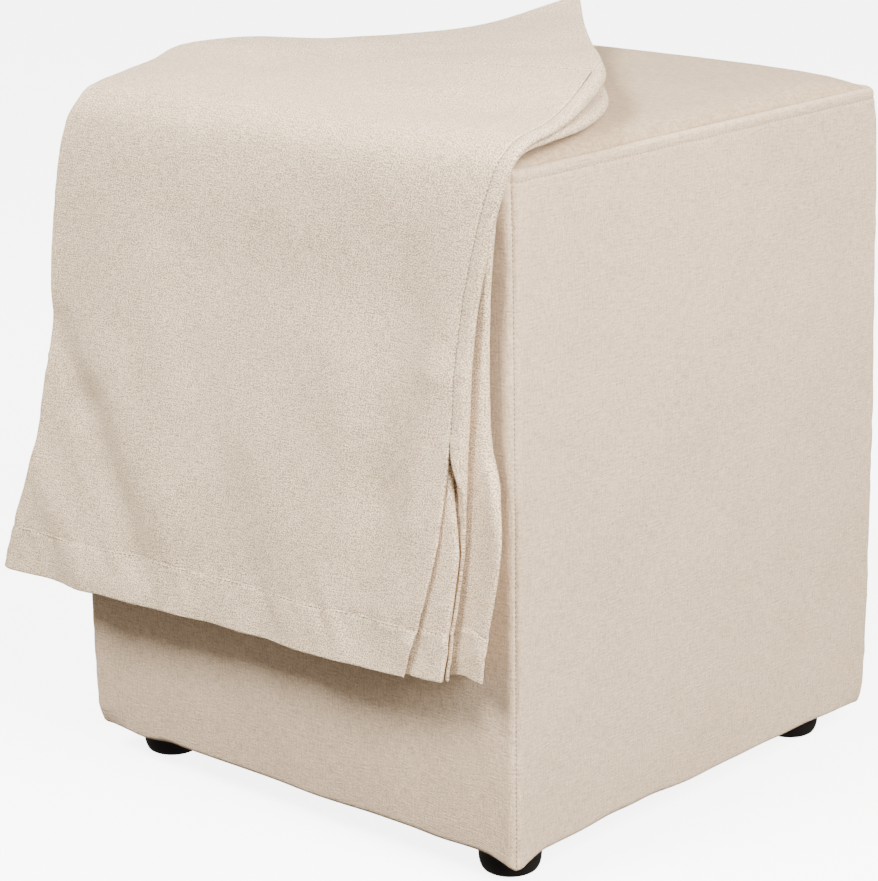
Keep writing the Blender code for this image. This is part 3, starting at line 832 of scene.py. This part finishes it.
# The cloth's edges below the slits, and its folds above them
EDGES = metres(Edges, (
    (0, -233.5, 130, -206, 157, -203, 170),
    (31, -224, 139, -203, 161, -201, 173.8),
    (83, -204, 152, -196.5, 166.5, -195, 181.8),
    (120, -196, 156.5, -192.5, 167, -191, 182.5),
    (152, -190, 159.5, -190, 168.5, -187, 177.5),
    (225, -185, 164.5, -185, 173.5, -182, 176.5),
    (285, -176.5, 177, -176.5, 186, -174, 181),
    (307, -170.5, 183, -170.5, 192, -168, 186),
    (319, -166, 186, -166, 195, -164, 189.5),
    (333, -164, 188, -164, 197, -162, 192),
    (366, -171, 185, -171, 194, -169, 188),
    (407, -181, 170, -181, 179, -178, 178.5),
    (SEAM_ROW, -187, 142.5, -187, 151.5, -183, 153),
    (480, -159, 124, -159, 124, -156, 126),
    (530, -114, 78, -114, 78, -111, 76),
    (585, -64, 28, -64, 28, -62, 24),
    (POINT_ROW, -31.5, -20.5, -31.5, -20.5, -31.5, -20.5),
))

# Where the side panels' two halves lie between the outer layer, 0, and the inner one, 1
LEVELS = (
    Levels(0.000, 0.43, 0.57),
    Levels(0.165, 0.43, 0.57),
    Levels(0.230, 0.34, 0.66),
    Levels(POINT, 0.34, 0.66),
)
FRONT_BACKING_LEVELS = (0.145, 0.276)
REAR_BACKING_LEVELS = (0.715, 0.855)

Trough = namedtuple("Trough", "x_low along_low x_high along_high width height")

# Soft creases: lines across the hanging cloth, and how far it stands off (+) or dips (-) there
TROUGHS = metres(Trough, (
    (-100, 30, -152, 125, 16, -4.2),
    (-152, 125, -186, 175, 15, -3.4),
    (-200, 80, -150, 10, 16, 2.6),
    (-125, 150, -70, 60, 22, 2.4),
    (92, 30, 104, 110, 18, -3),
    (104, 110, 116, 250, 20, -3),
    (130, 95, 147, 190, 11, 1.9),
    (147, 190, 160, 290, 11, 1.8),
    (-75, 250, -70, 262, 7, -1.4),
    (-40, 235, 120, 225, 28, -1.8),
    (0, 120, 20, 60, 24, 1.8),
    (-60, 180, -20, 100, 26, -1.4),
    (60, 360, 150, 380, 22, -1.4),
    (-100, 370, 30, 352, 24, 1.4),
    (-60, 470, 60, 500, 20, -2),
    (-150, 420, -80, 400, 16, -1.2),
))


# %% [markdown]
# ## Reading the tables
#
# A `Station` gathers all the values at one place along the cloth, and its `place` turns a
# distance across and a level, from 0 outside to 1 inside, into a point. The creases are added
# there, weaker on the inner layers, so that the layers keep clear of each other.

# %% Stations
def crease_relief(x, along):
    total = 0.0
    for line in TROUGHS:
        way = (line.x_high - line.x_low, line.along_high - line.along_low)
        past = (x - line.x_low, along - line.along_low)
        share = clipped((past[0] * way[0] + past[1] * way[1]) / (way[0] ** 2 + way[1] ** 2))
        distance = math.hypot(past[0] - way[0] * share, past[1] - way[1] * share)
        total += line.height * bump_at(distance, line.width)
    total += ripple(x / 0.052, along / 0.085, 2.0) * 0.0016
    return total + ripple(x / 0.021, along / 0.034, 7.0) * 0.0005


class Station:
    def __init__(self, along):
        self.along = along
        self.outer = [self.face_point(OUTER_FACE, side) for side in ("left", "right")]
        self.inner = [self.face_point(INNER_FACE, side) for side in ("left", "right")]
        self.edge = {
            column: smooth_value(EDGES, column, along) for column in Edges._fields[1:]
        }
        columns = Swell._fields[2:]
        self.swells = [0.0, *(smooth_value(SWELLS, c, along) for c in columns), 0.0]
        self.left_drop = smooth_value(SWELLS, "left_drop", along)
        self.sides = [smooth_value(LEVELS, column, along) for column in Levels._fields[1:]]
        self.middle = (self.edge["fold_left"] + self.edge["fold_right"]) / 2
        share = clipped((SLIT_TOP - along) / SLIT_SPREAD)
        self.opened = (1 - math.cos(math.pi * share)) / 2

    def face_point(self, table, side):
        y = smooth_value(table, "y_" + side, self.along)
        return Vector((y, smooth_value(table, "z_" + side, self.along)))

    def swell(self, share):
        place = clipped(share) * 4
        at = min(int(place), 3)
        ease = (1 - math.cos(math.pi * (place - at))) / 2
        return self.swells[at] * (1 - ease) + self.swells[at + 1] * ease

    def share(self, x):
        left = self.edge["fold_left"]
        return (x - left) / (self.edge["fold_right"] - left)

    def faces_at(self, x):
        share = self.share(x)
        return self.outer[0].lerp(self.outer[1], share), self.inner[0].lerp(self.inner[1], share)

    def depth(self, x):
        outer, inner = self.faces_at(x)
        return (outer - inner).length

    def outward(self, x):
        outer, inner = self.faces_at(x)
        return Vector((0.0, *(outer - inner).normalized()))

    def place(self, x, level):
        outer, inner = self.faces_at(x)
        outward = (outer - inner).normalized()
        stand_off = self.swell(self.share(x)) * (1 - level)
        crease = crease_relief(x, self.along)
        calm = min((outer - inner).length / CALM_DEPTH, 1.0)
        stand_off += (crease + abs(crease) * level * 0.3) * (1 - 0.75 * level) * calm
        y, z = outer.lerp(inner, level) + outward * stand_off
        from_fold = max(x - self.edge["fold_left"], 0.0)
        drop = self.left_drop * math.exp(-from_fold / DROP_LENGTH)
        return CENTRE + Vector((x, y, z - drop + self.rear_lift(x, level)))

    def rear_lift(self, x, level):
        """The inner layers' hem rises towards its right corner."""
        beside = clipped((x - REAR_LIFT_FROM) / REAR_LIFT_RUN)
        low = max(1 - self.along / SLIT_TOP, 0.0) ** 2
        return REAR_LIFT * beside * low * clipped((level - 0.30) / 0.20)


# %% [markdown]
# ## Paths across the folded cloth
#
# Each panel is a path of (x, level) places: straight runs joined by round turns. Where a slit
# opens, the turn draws back to the fold's outermost line and then uncurls, so that the slit's
# edges lie free below the bar tack. The rear slit's edge on the right flares forwards.

# %% Turns and creases
TURN_STEPS = 10
STRIP_SHARES = (0.2, 0.4, 0.6, 0.74, 0.84, 0.91, 0.955, 0.98, 1.0)


def turn(station, fold, inward, first, last, reach=0.0):
    height = abs(last - first) * station.depth(fold)
    radius = height / 2
    half_circle = math.pi * radius
    closed = half_circle + max(reach - radius, 0.0)
    drawn_back = min(station.opened * 2, 1.0)
    uncurled = UNCURLED * max(station.opened * 2 - 1, 0.0)
    length = closed + (half_circle / 2 - closed) * drawn_back
    bent_radius = radius / (1 - uncurled)
    runs = [half_circle * i / TURN_STEPS for i in range(TURN_STEPS + 1)]
    if reach:
        spare = closed - half_circle
        runs += [half_circle + spare * share for share in STRIP_SHARES]
    outermost = bent_radius * math.sin(min(length / bent_radius, math.pi / 2))
    places = []
    for run in runs:
        run *= length / closed
        angle = min(run, half_circle) / bent_radius
        across = bent_radius * math.sin(angle) - max(run - half_circle, 0.0)
        rise = bent_radius * (1 - math.cos(angle)) / height
        places.insert(0, (fold + inward * (outermost - across), last + (first - last) * rise))
    return places


def crease(station, x, inward, first, last):
    radius = abs(last - first) * station.depth(x) / 2
    places = []
    for i in range(TURN_STEPS + 1):
        bend = math.pi * i / TURN_STEPS
        across = x + inward * radius * (1 - math.sin(bend))
        places.append((across, first + (last - first) * (1 - math.cos(bend)) / 2))
    return places


def joined(*parts):
    """One path from parts, with straight runs between them: part, number of spans, part ..."""
    path = list(parts[0])
    for spans, part in zip(parts[1::2], parts[2::2]):
        start, end = path[-1], part[0]
        for i in range(1, spans):
            path.append(tuple(a + (b - a) * i / spans for a, b in zip(start, end)))
        path += part
    return path


# %% Paths of the front, side and back panels
SEAM_BACKS = (0.0060, 0.0042, 0.0028, 0.0018, 0.0011, 0.0006, 0.0002, 0.0)
FRONT_SPANS = 104
HALF_SIDE_SPANS = 44
BACK_SPANS = 84


def front_path(station):
    left = turn(station, station.edge["front_left"], 1, station.sides[0], 0.0)
    edge = station.edge["front_right"] - SEAM_GAP / 2
    return joined(left, FRONT_SPANS, [(edge - back, 0.0) for back in SEAM_BACKS])


def flared(station, path, edge, nearest):
    """The path, with the part behind the level `nearest` led forwards beside its free edge."""
    forwards = FLARE_DEPTH / station.depth(edge) * station.opened
    places = []
    for x, level in path:
        share = clipped(1 - (edge - x) / FLARE_WIDTH) if level > nearest else 0.0
        run = FLARE_RUN * station.opened * share**2
        places.append((x + run, level - forwards * share**2))
    return places


def right_side_path(station):
    edge = station.edge
    outer, inner = station.sides
    strip = CORNER_STRIP - SEAM_GAP / 2
    middle = crease(station, station.middle + CREASE_HALF_GAP, 1, outer, inner)
    rear = edge["inner_right"] + SIDE_LAP * station.opened
    last = turn(station, rear, -1, 1.0, inner)[::-1]
    first = turn(station, edge["fold_right"], -1, 0.0, outer, strip)
    path = joined(first, HALF_SIDE_SPANS, middle, HALF_SIDE_SPANS, last)
    return flared(station, path, rear, (outer + inner) / 2)


def left_side_path(station):
    outer, inner = station.sides
    fold = station.edge["fold_left"]
    radius = outer * station.depth(fold) / 2
    start = fold + (radius + FOLD_SEAM_GAP) * (1 - station.opened)
    middle = crease(station, station.middle - CREASE_HALF_GAP, -1, outer, inner)
    rear = station.edge["inner_left"] - SIDE_LAP * station.opened
    last = turn(station, rear, 1, 1.0, inner)[::-1]
    return joined([(start, outer)], HALF_SIDE_SPANS, middle, HALF_SIDE_SPANS, last)


def back_path(station):
    ends = []
    for side, inward in (("inner_left", 1), ("inner_right", -1)):
        fold = station.edge[side]
        radius = (1 - station.sides[1]) * station.depth(fold) / 2
        place = fold + inward * (radius + FOLD_SEAM_GAP) * (1 - station.opened)
        ends.append([(place, 1.0)])
    return joined(ends[0], BACK_SPANS, ends[1])


# %% Paths of the top panel and the backings
TOP_FRONT_SPANS = 70
TOP_HALF_SIDE_SPANS = 26
TOP_BACK_SPANS = 50
BACKING_SPANS = 12


def top_loop(station):
    edge = station.edge
    outer, inner = station.sides
    share = (station.along - TOP_SEAM) / (POINT - TOP_SEAM)
    half_gap = CREASE_HALF_GAP + (POINT_HALF_GAP - CREASE_HALF_GAP) * share
    start = turn(station, edge["fold_left"], 1, outer, 0.0)
    return joined(
        start,
        TOP_FRONT_SPANS,
        turn(station, edge["fold_right"], -1, 0.0, outer),
        TOP_HALF_SIDE_SPANS,
        crease(station, station.middle + half_gap, 1, outer, inner),
        TOP_HALF_SIDE_SPANS,
        turn(station, edge["inner_right"], -1, inner, 1.0),
        TOP_BACK_SPANS,
        turn(station, edge["inner_left"], 1, 1.0, inner),
        TOP_HALF_SIDE_SPANS,
        crease(station, station.middle - half_gap, -1, inner, outer),
        TOP_HALF_SIDE_SPANS,
        start[:1],
    )


def backing_path(fold, inward, levels, shift):
    def path(station):
        sewn = clipped((station.along - BACKING_SEWN_FROM) / BACKING_SEWN_RUN)
        outer = levels[0] - BACKING_SPREAD * sewn
        inner = levels[1] + BACKING_SPREAD * sewn
        x = station.edge[fold] + inward * (shift + BACKING_RETREAT * sewn)
        around = crease(station, x, inward, outer, inner)
        far = x + inward * (BACKING_HALF - BACKING_RETREAT * sewn)
        return joined([(far, outer)], BACKING_SPANS, around, BACKING_SPANS, [(far, inner)])

    return path


# %% [markdown]
# ## Laying the cloth
#
# A panel is one grid on its path at every station. Its cloth map keeps the true distance across
# and along. Then the cloth is drawn in at its seams, dips under each row of stitches, puckers
# along the hem, and is thickened. The hem and the slits' edges are two layers of cloth, so they
# are thicker, and every free edge is rounded: a vertex group holds the thickness, and Solidify
# reads it.

# %% Rows along the cloth, and its ridges
HEM_ROWS = [millimetres / 1000 for millimetres in (
    0, 0.3, 0.7, 1.2, 2, 3.4, 5.5, 8.5, 12, 15.5, 19, 22, 25, 27.5, 29, 30, 30.6, 31.2, 31.8,
    32.6, 34, 36,
)]
HEM_END = HEM_ROWS[-1]

# Relief from the hem's edge upwards, from the corner seam or the slit, and from the top seam
HEM_GROOVE = Ridge(-0.00045, HEM, 0.0009)
HEM_PUCKERS = (Ridge(0.0013, 0.019, 0.012), Ridge(0.0007, 0.038, 0.009))
HEM_WAVES = Ridge(0.0018, 0.005, 0.022)
SEAM_GROOVE = Ridge(-0.00065, 0.0, 0.0010)
SEAM_SHOULDER = Ridge(0.0002, 0.0040, 0.0035)
SLIT_PUCKERS = Ridge(0.0005, 0.003, 0.006)
TOP_SEAM_GROOVE = Ridge(-0.0005, 0.0, 0.0009)
TOP_SEAM_GATHERS = Ridge(0.0003, 0.005, 0.005)


def rows_to(start, end, spacing):
    count = round((end - start) / spacing)
    return [start + (end - start) * i / count for i in range(1, count + 1)]


SEAM_ROWS = [TOP_SEAM - back for back in (0.0040, 0.0026, 0.0016, 0.0009, 0.0004, 0.0)]
PANEL_ROWS = HEM_ROWS + rows_to(HEM_END, TOP_SEAM - 0.0060, 0.0036) + SEAM_ROWS
FAR_ROWS = HEM_ROWS + rows_to(HEM_END, TOP_SEAM - 0.0060, 0.0062) + SEAM_ROWS
TOP_PANEL_START = TOP_SEAM + SEAM_GAP
TOP_PANEL_ROWS = [TOP_PANEL_START + on for on in (0.0, 0.0004, 0.0009, 0.0016, 0.0026, 0.0040)]
TOP_PANEL_ROWS += rows_to(TOP_PANEL_START + 0.0040, POINT, 0.0042)
BACKING_ROWS = HEM_ROWS[1:] + rows_to(HEM_END, BACKING_TOP, 0.0042)
print("rows of the outer and the far panels", len(PANEL_ROWS), len(FAR_ROWS))


# %% Relief and thickness of the cloth
TURNED_EDGE = 0.008
FULL_HEM = HEM + 0.0005
LEAST_ROUNDING = 0.25


def cloth_relief(along, across, from_edges, hemmed, seamed):
    """How far the cloth stands off along its own normal, seams and hem included."""
    relief = 0.0
    near = min(from_edges)
    if hemmed:
        pucker = ripple((across + along * 0.6) / 0.0085, along / 0.024, 3.0)
        relief += ridge_at(along, HEM_GROOVE)
        relief += pucker * sum(ridge_at(along, ridge) for ridge in HEM_PUCKERS)
        relief += ripple(across / 0.026, along / 0.060, 6.0) * ridge_at(along, HEM_WAVES)
    if seamed and along > SLIT_TOP:
        pucker = ripple(along / 0.0080, across / 0.030, 8.0)
        relief += ridge_at(near, SEAM_GROOVE) + ridge_at(near, SEAM_SHOULDER) * (1 + pucker * 1.75)
    if seamed and along < SLIT_TOP:
        relief += ripple(along / 0.0120, 2.0, 4.0) * ridge_at(near, SLIT_PUCKERS)
    from_top = abs(along - TOP_SEAM)
    gathers = ripple(across / 0.011, 5.0, 1.0) * ridge_at(from_top, TOP_SEAM_GATHERS)
    return relief + ridge_at(from_top, TOP_SEAM_GROOVE) + gathers


def cloth_thickness(along, from_edges, hemmed, seamed):
    """One layer or two, less where a free edge rounds off."""
    near = min(from_edges)
    slit = seamed and along < SLIT_TOP
    doubled = (hemmed and along < FULL_HEM) or (slit and near < TURNED_EDGE)
    full = HEM_CLOTH if doubled else CLOTH
    free = along if hemmed else 1.0
    if slit:
        free = min(free, near)
    inwards = clipped(free / (full / 2))
    return full * max(math.sqrt(1 - (1 - inwards) ** 2), LEAST_ROUNDING)


def lengths_across(lines):
    """The distance across of every place, in step with the middle line at the middle column."""
    across = []
    for line in lines:
        run = [0.0]
        for start, end in zip(line, line[1:]):
            run.append(run[-1] + (end - start).length)
        across.append(run)
    middle = across[len(across) // 2]
    for run in across:
        shift = middle[len(middle) // 2] - run[len(run) // 2]
        run[:] = [place + shift for place in run]
    return across


# %% Lay one cloth
def lay_cloth(name, path, rows, hemmed=True, seamed=True, closed=False):
    stations = [Station(along) for along in rows]
    lines = [[station.place(*at) for at in path(station)] for station in stations]
    columns = len(lines[0])
    across = lengths_across(lines)
    size = (columns, len(rows))
    bm = grid_mesh(*size, lambda i, j: lines[j][i], lambda i, j: (across[j][i], rows[j]))
    thickness = bm.verts.layers.deform.verify()
    cloth_map = bm.loops.layers.uv.active
    bm.normal_update()
    ends_at = {round(row, 5): (run[0], run[-1]) for row, run in zip(rows, across)}
    reliefs = {}
    for face in bm.faces:
        for loop in face.loops:
            if loop.vert in reliefs:
                continue
            u, along = loop[cloth_map].uv
            start, end = ends_at[round(along, 5)]
            ends = (1.0, 1.0) if closed else (u - start, end - u)
            relief = cloth_relief(along, u, ends, hemmed, seamed)
            reliefs[loop.vert] = loop.vert.normal * relief
            share = cloth_thickness(along, ends, hemmed, seamed) / HEM_CLOTH
            loop.vert[thickness][0] = share
    for vert, relief in reliefs.items():
        vert.co += relief
    if closed:
        bmesh.ops.remove_doubles(bm, verts=bm.verts, dist=0.00001)
    piece = add_piece(bm, name, COVER_CLOTH)
    piece.vertex_groups.new(name="thickness")
    thicken = piece.modifiers.new("cloth", "SOLIDIFY")
    thicken.thickness = HEM_CLOTH
    thicken.offset = 0.0
    thicken.vertex_group = "thickness"
    thicken.thickness_vertex_group = 0.0
    width = across[len(rows) // 2][-1] - across[len(rows) // 2][0]
    print(name, columns, "by", len(rows), "cloth", round(width, 3), "m across")
    return piece


# %% Lay the cover
panels = {
    "cover_front": (front_path, PANEL_ROWS),
    "cover_right_side": (right_side_path, PANEL_ROWS),
    "cover_left_side": (left_side_path, PANEL_ROWS),
    "cover_back": (back_path, FAR_ROWS),
}
for name, (path, rows) in panels.items():
    lay_cloth(name, path, rows)
    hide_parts(name + "_panel")
lay_cloth("cover_top", top_loop, TOP_PANEL_ROWS, False, False, True)
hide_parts("cover_top_panel")

backings = {
    "front_right": ("fold_right", -1, FRONT_BACKING_LEVELS, 0.002),
    "front_left": ("fold_left", 1, FRONT_BACKING_LEVELS, 0.004),
    "rear_right": ("inner_right", -1, REAR_BACKING_LEVELS, 0.003),
    "rear_left": ("inner_left", 1, REAR_BACKING_LEVELS, 0.003),
}
for corner, (fold, inward, levels, shift) in backings.items():
    path = backing_path(fold, inward, levels, shift)
    lay_cloth("slit_backing_" + corner, path, BACKING_ROWS, seamed=False)
    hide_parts("cover_backing_" + corner)

# %% [markdown]
# ## The cover's stitches
#
# The hem's topstitch lies in the groove that the hem was given. The corner seam and the top seam
# show as fine dotted lines: their short stitches pull the cloth into little pits, and their thread
# is darker than the others, painted shade of those pits. The corner seam ends in a bar tack, where
# the slit begins.

# %% Cover stitches
def row_points(path, along, level_limit, lift):
    station = Station(along)
    places = [at for at in path(station) if at[1] <= level_limit]
    return [station.place(*at) + station.outward(at[0]) * lift for at in places]


hem_rows = [row_points(front_path, HEM, 0.001, 0.0010)]
hem_rows.append(row_points(backing_path(*backings["front_right"]), HEM, 0.15, 0.0009))
hem_stitches = stitched_piece("cover_hem_stitches", hem_rows, COVER_THREAD)

corner_seam = []
for along in spaced(SLIT_TOP + 0.003, TOP_SEAM - 0.001, 150):
    station = Station(along)
    at = station.edge["front_right"]
    corner_seam.append(station.place(at, 0.0) + station.outward(at) * 0.0001)
top_station = Station(TOP_SEAM)
left, right = top_station.edge["fold_left"] + 0.003, top_station.edge["fold_right"] - 0.001
top_seam = []
for at in spaced(left, right, 90):
    point = top_station.place(at, 0.0) + top_station.outward(at) * 0.00015
    top_seam.append(point + Vector((0.0, SEAM_GAP / 2, 0.0)))
seam_rows = [corner_seam, top_seam]
seam_stitches = stitched_piece(
    "cover_seam_stitches", seam_rows, SEAM_PAINTED_SHADE_THREAD, SEAM_STITCH
)

tack_station = Station(SLIT_TOP + 0.0008)
tack_x = tack_station.edge["front_right"]
bar_tack = bmesh.new()
for x in spaced(tack_x - 0.0070, tack_x + 0.0063, 20):
    point = tack_station.place(x, 0.0) + tack_station.outward(x) * 0.0007
    ends = [point + Vector((0.0002, 0, side * 0.0011)) for side in (-1, 1)]
    stitch_row(bar_tack, ends, TACK_STITCH)
bar_tack = add_piece(bar_tack, "cover_bar_tack", PALE_THREAD)

# %% [markdown]
# ## Floor and light
#
# A pale seamless floor and soft studio light: a large key from the right, a weaker lamp high over
# the front, which leaves a soft shadow under the cover's hem, and a pale surround. The floor
# glows, so that it stays nearly white, but it lights nothing else.

# %% Floor
FLOOR_SIZE = 25.0
FLOOR_GLOW = 6.0
floor_mesh = bmesh.new()
bmesh.ops.create_grid(floor_mesh, x_segments=1, y_segments=1, size=FLOOR_SIZE)
floor_finish = Finish("studio_floor")
place = floor_finish.node("ShaderNodeTexCoord", {}, {}, output=3)
cloud = floor_finish.noise(place)
white = floor_finish.mix(cloud, (0.90, 0.90, 0.90, 1.0), (0.92, 0.92, 0.92, 1.0))
floor_finish.dress({
    "Base Color": white,
    "Emission Color": white,
    "Emission Strength": FLOOR_GLOW,
    "Roughness": 0.9,
})
floor = shown(floor_mesh, "floor", floor_finish.material)
floor.location.z = -0.0005
floor.visible_diffuse = False
floor.visible_glossy = False

# %% Surround
SURROUND_STRENGTH = 0.68
SURROUND_SHADES = (
    (0.0, (0.30, 0.27, 0.235)),
    (0.44, (0.36, 0.33, 0.29)),
    (0.52, (1.30, 1.26, 1.21)),
    (1.0, (0.30, 0.30, 0.31)),
)
world = bpy.data.worlds.new("surround")
bpy.context.scene.world = world
world.use_nodes = True
background = world.node_tree.nodes["Background"]
surround = Tree(world.node_tree)
way = surround.node("ShaderNodeTexCoord", {}, {})
rise = surround.node("ShaderNodeSeparateXYZ", {}, {0: way}, output=2)
place = surround.node("ShaderNodeMapRange", {}, {"Value": rise, "From Min": -1.0})
shades = surround.node("ShaderNodeValToRGB", {}, {"Fac": place})
ramp = shades.socket.node.color_ramp
for position, _ in SURROUND_SHADES[2:]:
    ramp.elements.new(position)
for element, (position, shade) in zip(ramp.elements, SURROUND_SHADES):
    element.position = position
    element.color = (*shade, 1.0)
surround.join(shades, background.inputs["Color"])
surround.join(SURROUND_STRENGTH, background.inputs["Strength"])


# %% Lamps
LIT_HEIGHT = 0.25


def soft_light(name, azimuth, elevation, distance, size, power, colour):
    """A square lamp that faces the stool. Azimuth 0 is in front, and 90 at the right."""
    turn_from, rise = math.radians(azimuth), math.radians(elevation)
    away = Vector((
        math.sin(turn_from) * math.cos(rise),
        -math.cos(turn_from) * math.cos(rise),
        math.sin(rise),
    ))
    data = bpy.data.lights.new(name, "AREA")
    data.size = size
    data.energy = power
    data.color = colour
    lamp = placed(name, data)
    lamp.location = CENTRE + Vector((0, 0, LIT_HEIGHT)) + away * distance
    lamp.rotation_euler = (-away).to_track_quat("-Z", "Y").to_euler()
    print(name, "lamp at", [round(c, 3) for c in lamp.location])


soft_light("key", azimuth=74, elevation=32, distance=2.0, size=1.1, power=136,
           colour=(1.0, 0.98, 0.935))
soft_light("overhead", azimuth=-10, elevation=50, distance=3.2, size=0.95, power=228,
           colour=(1.0, 0.985, 0.945))
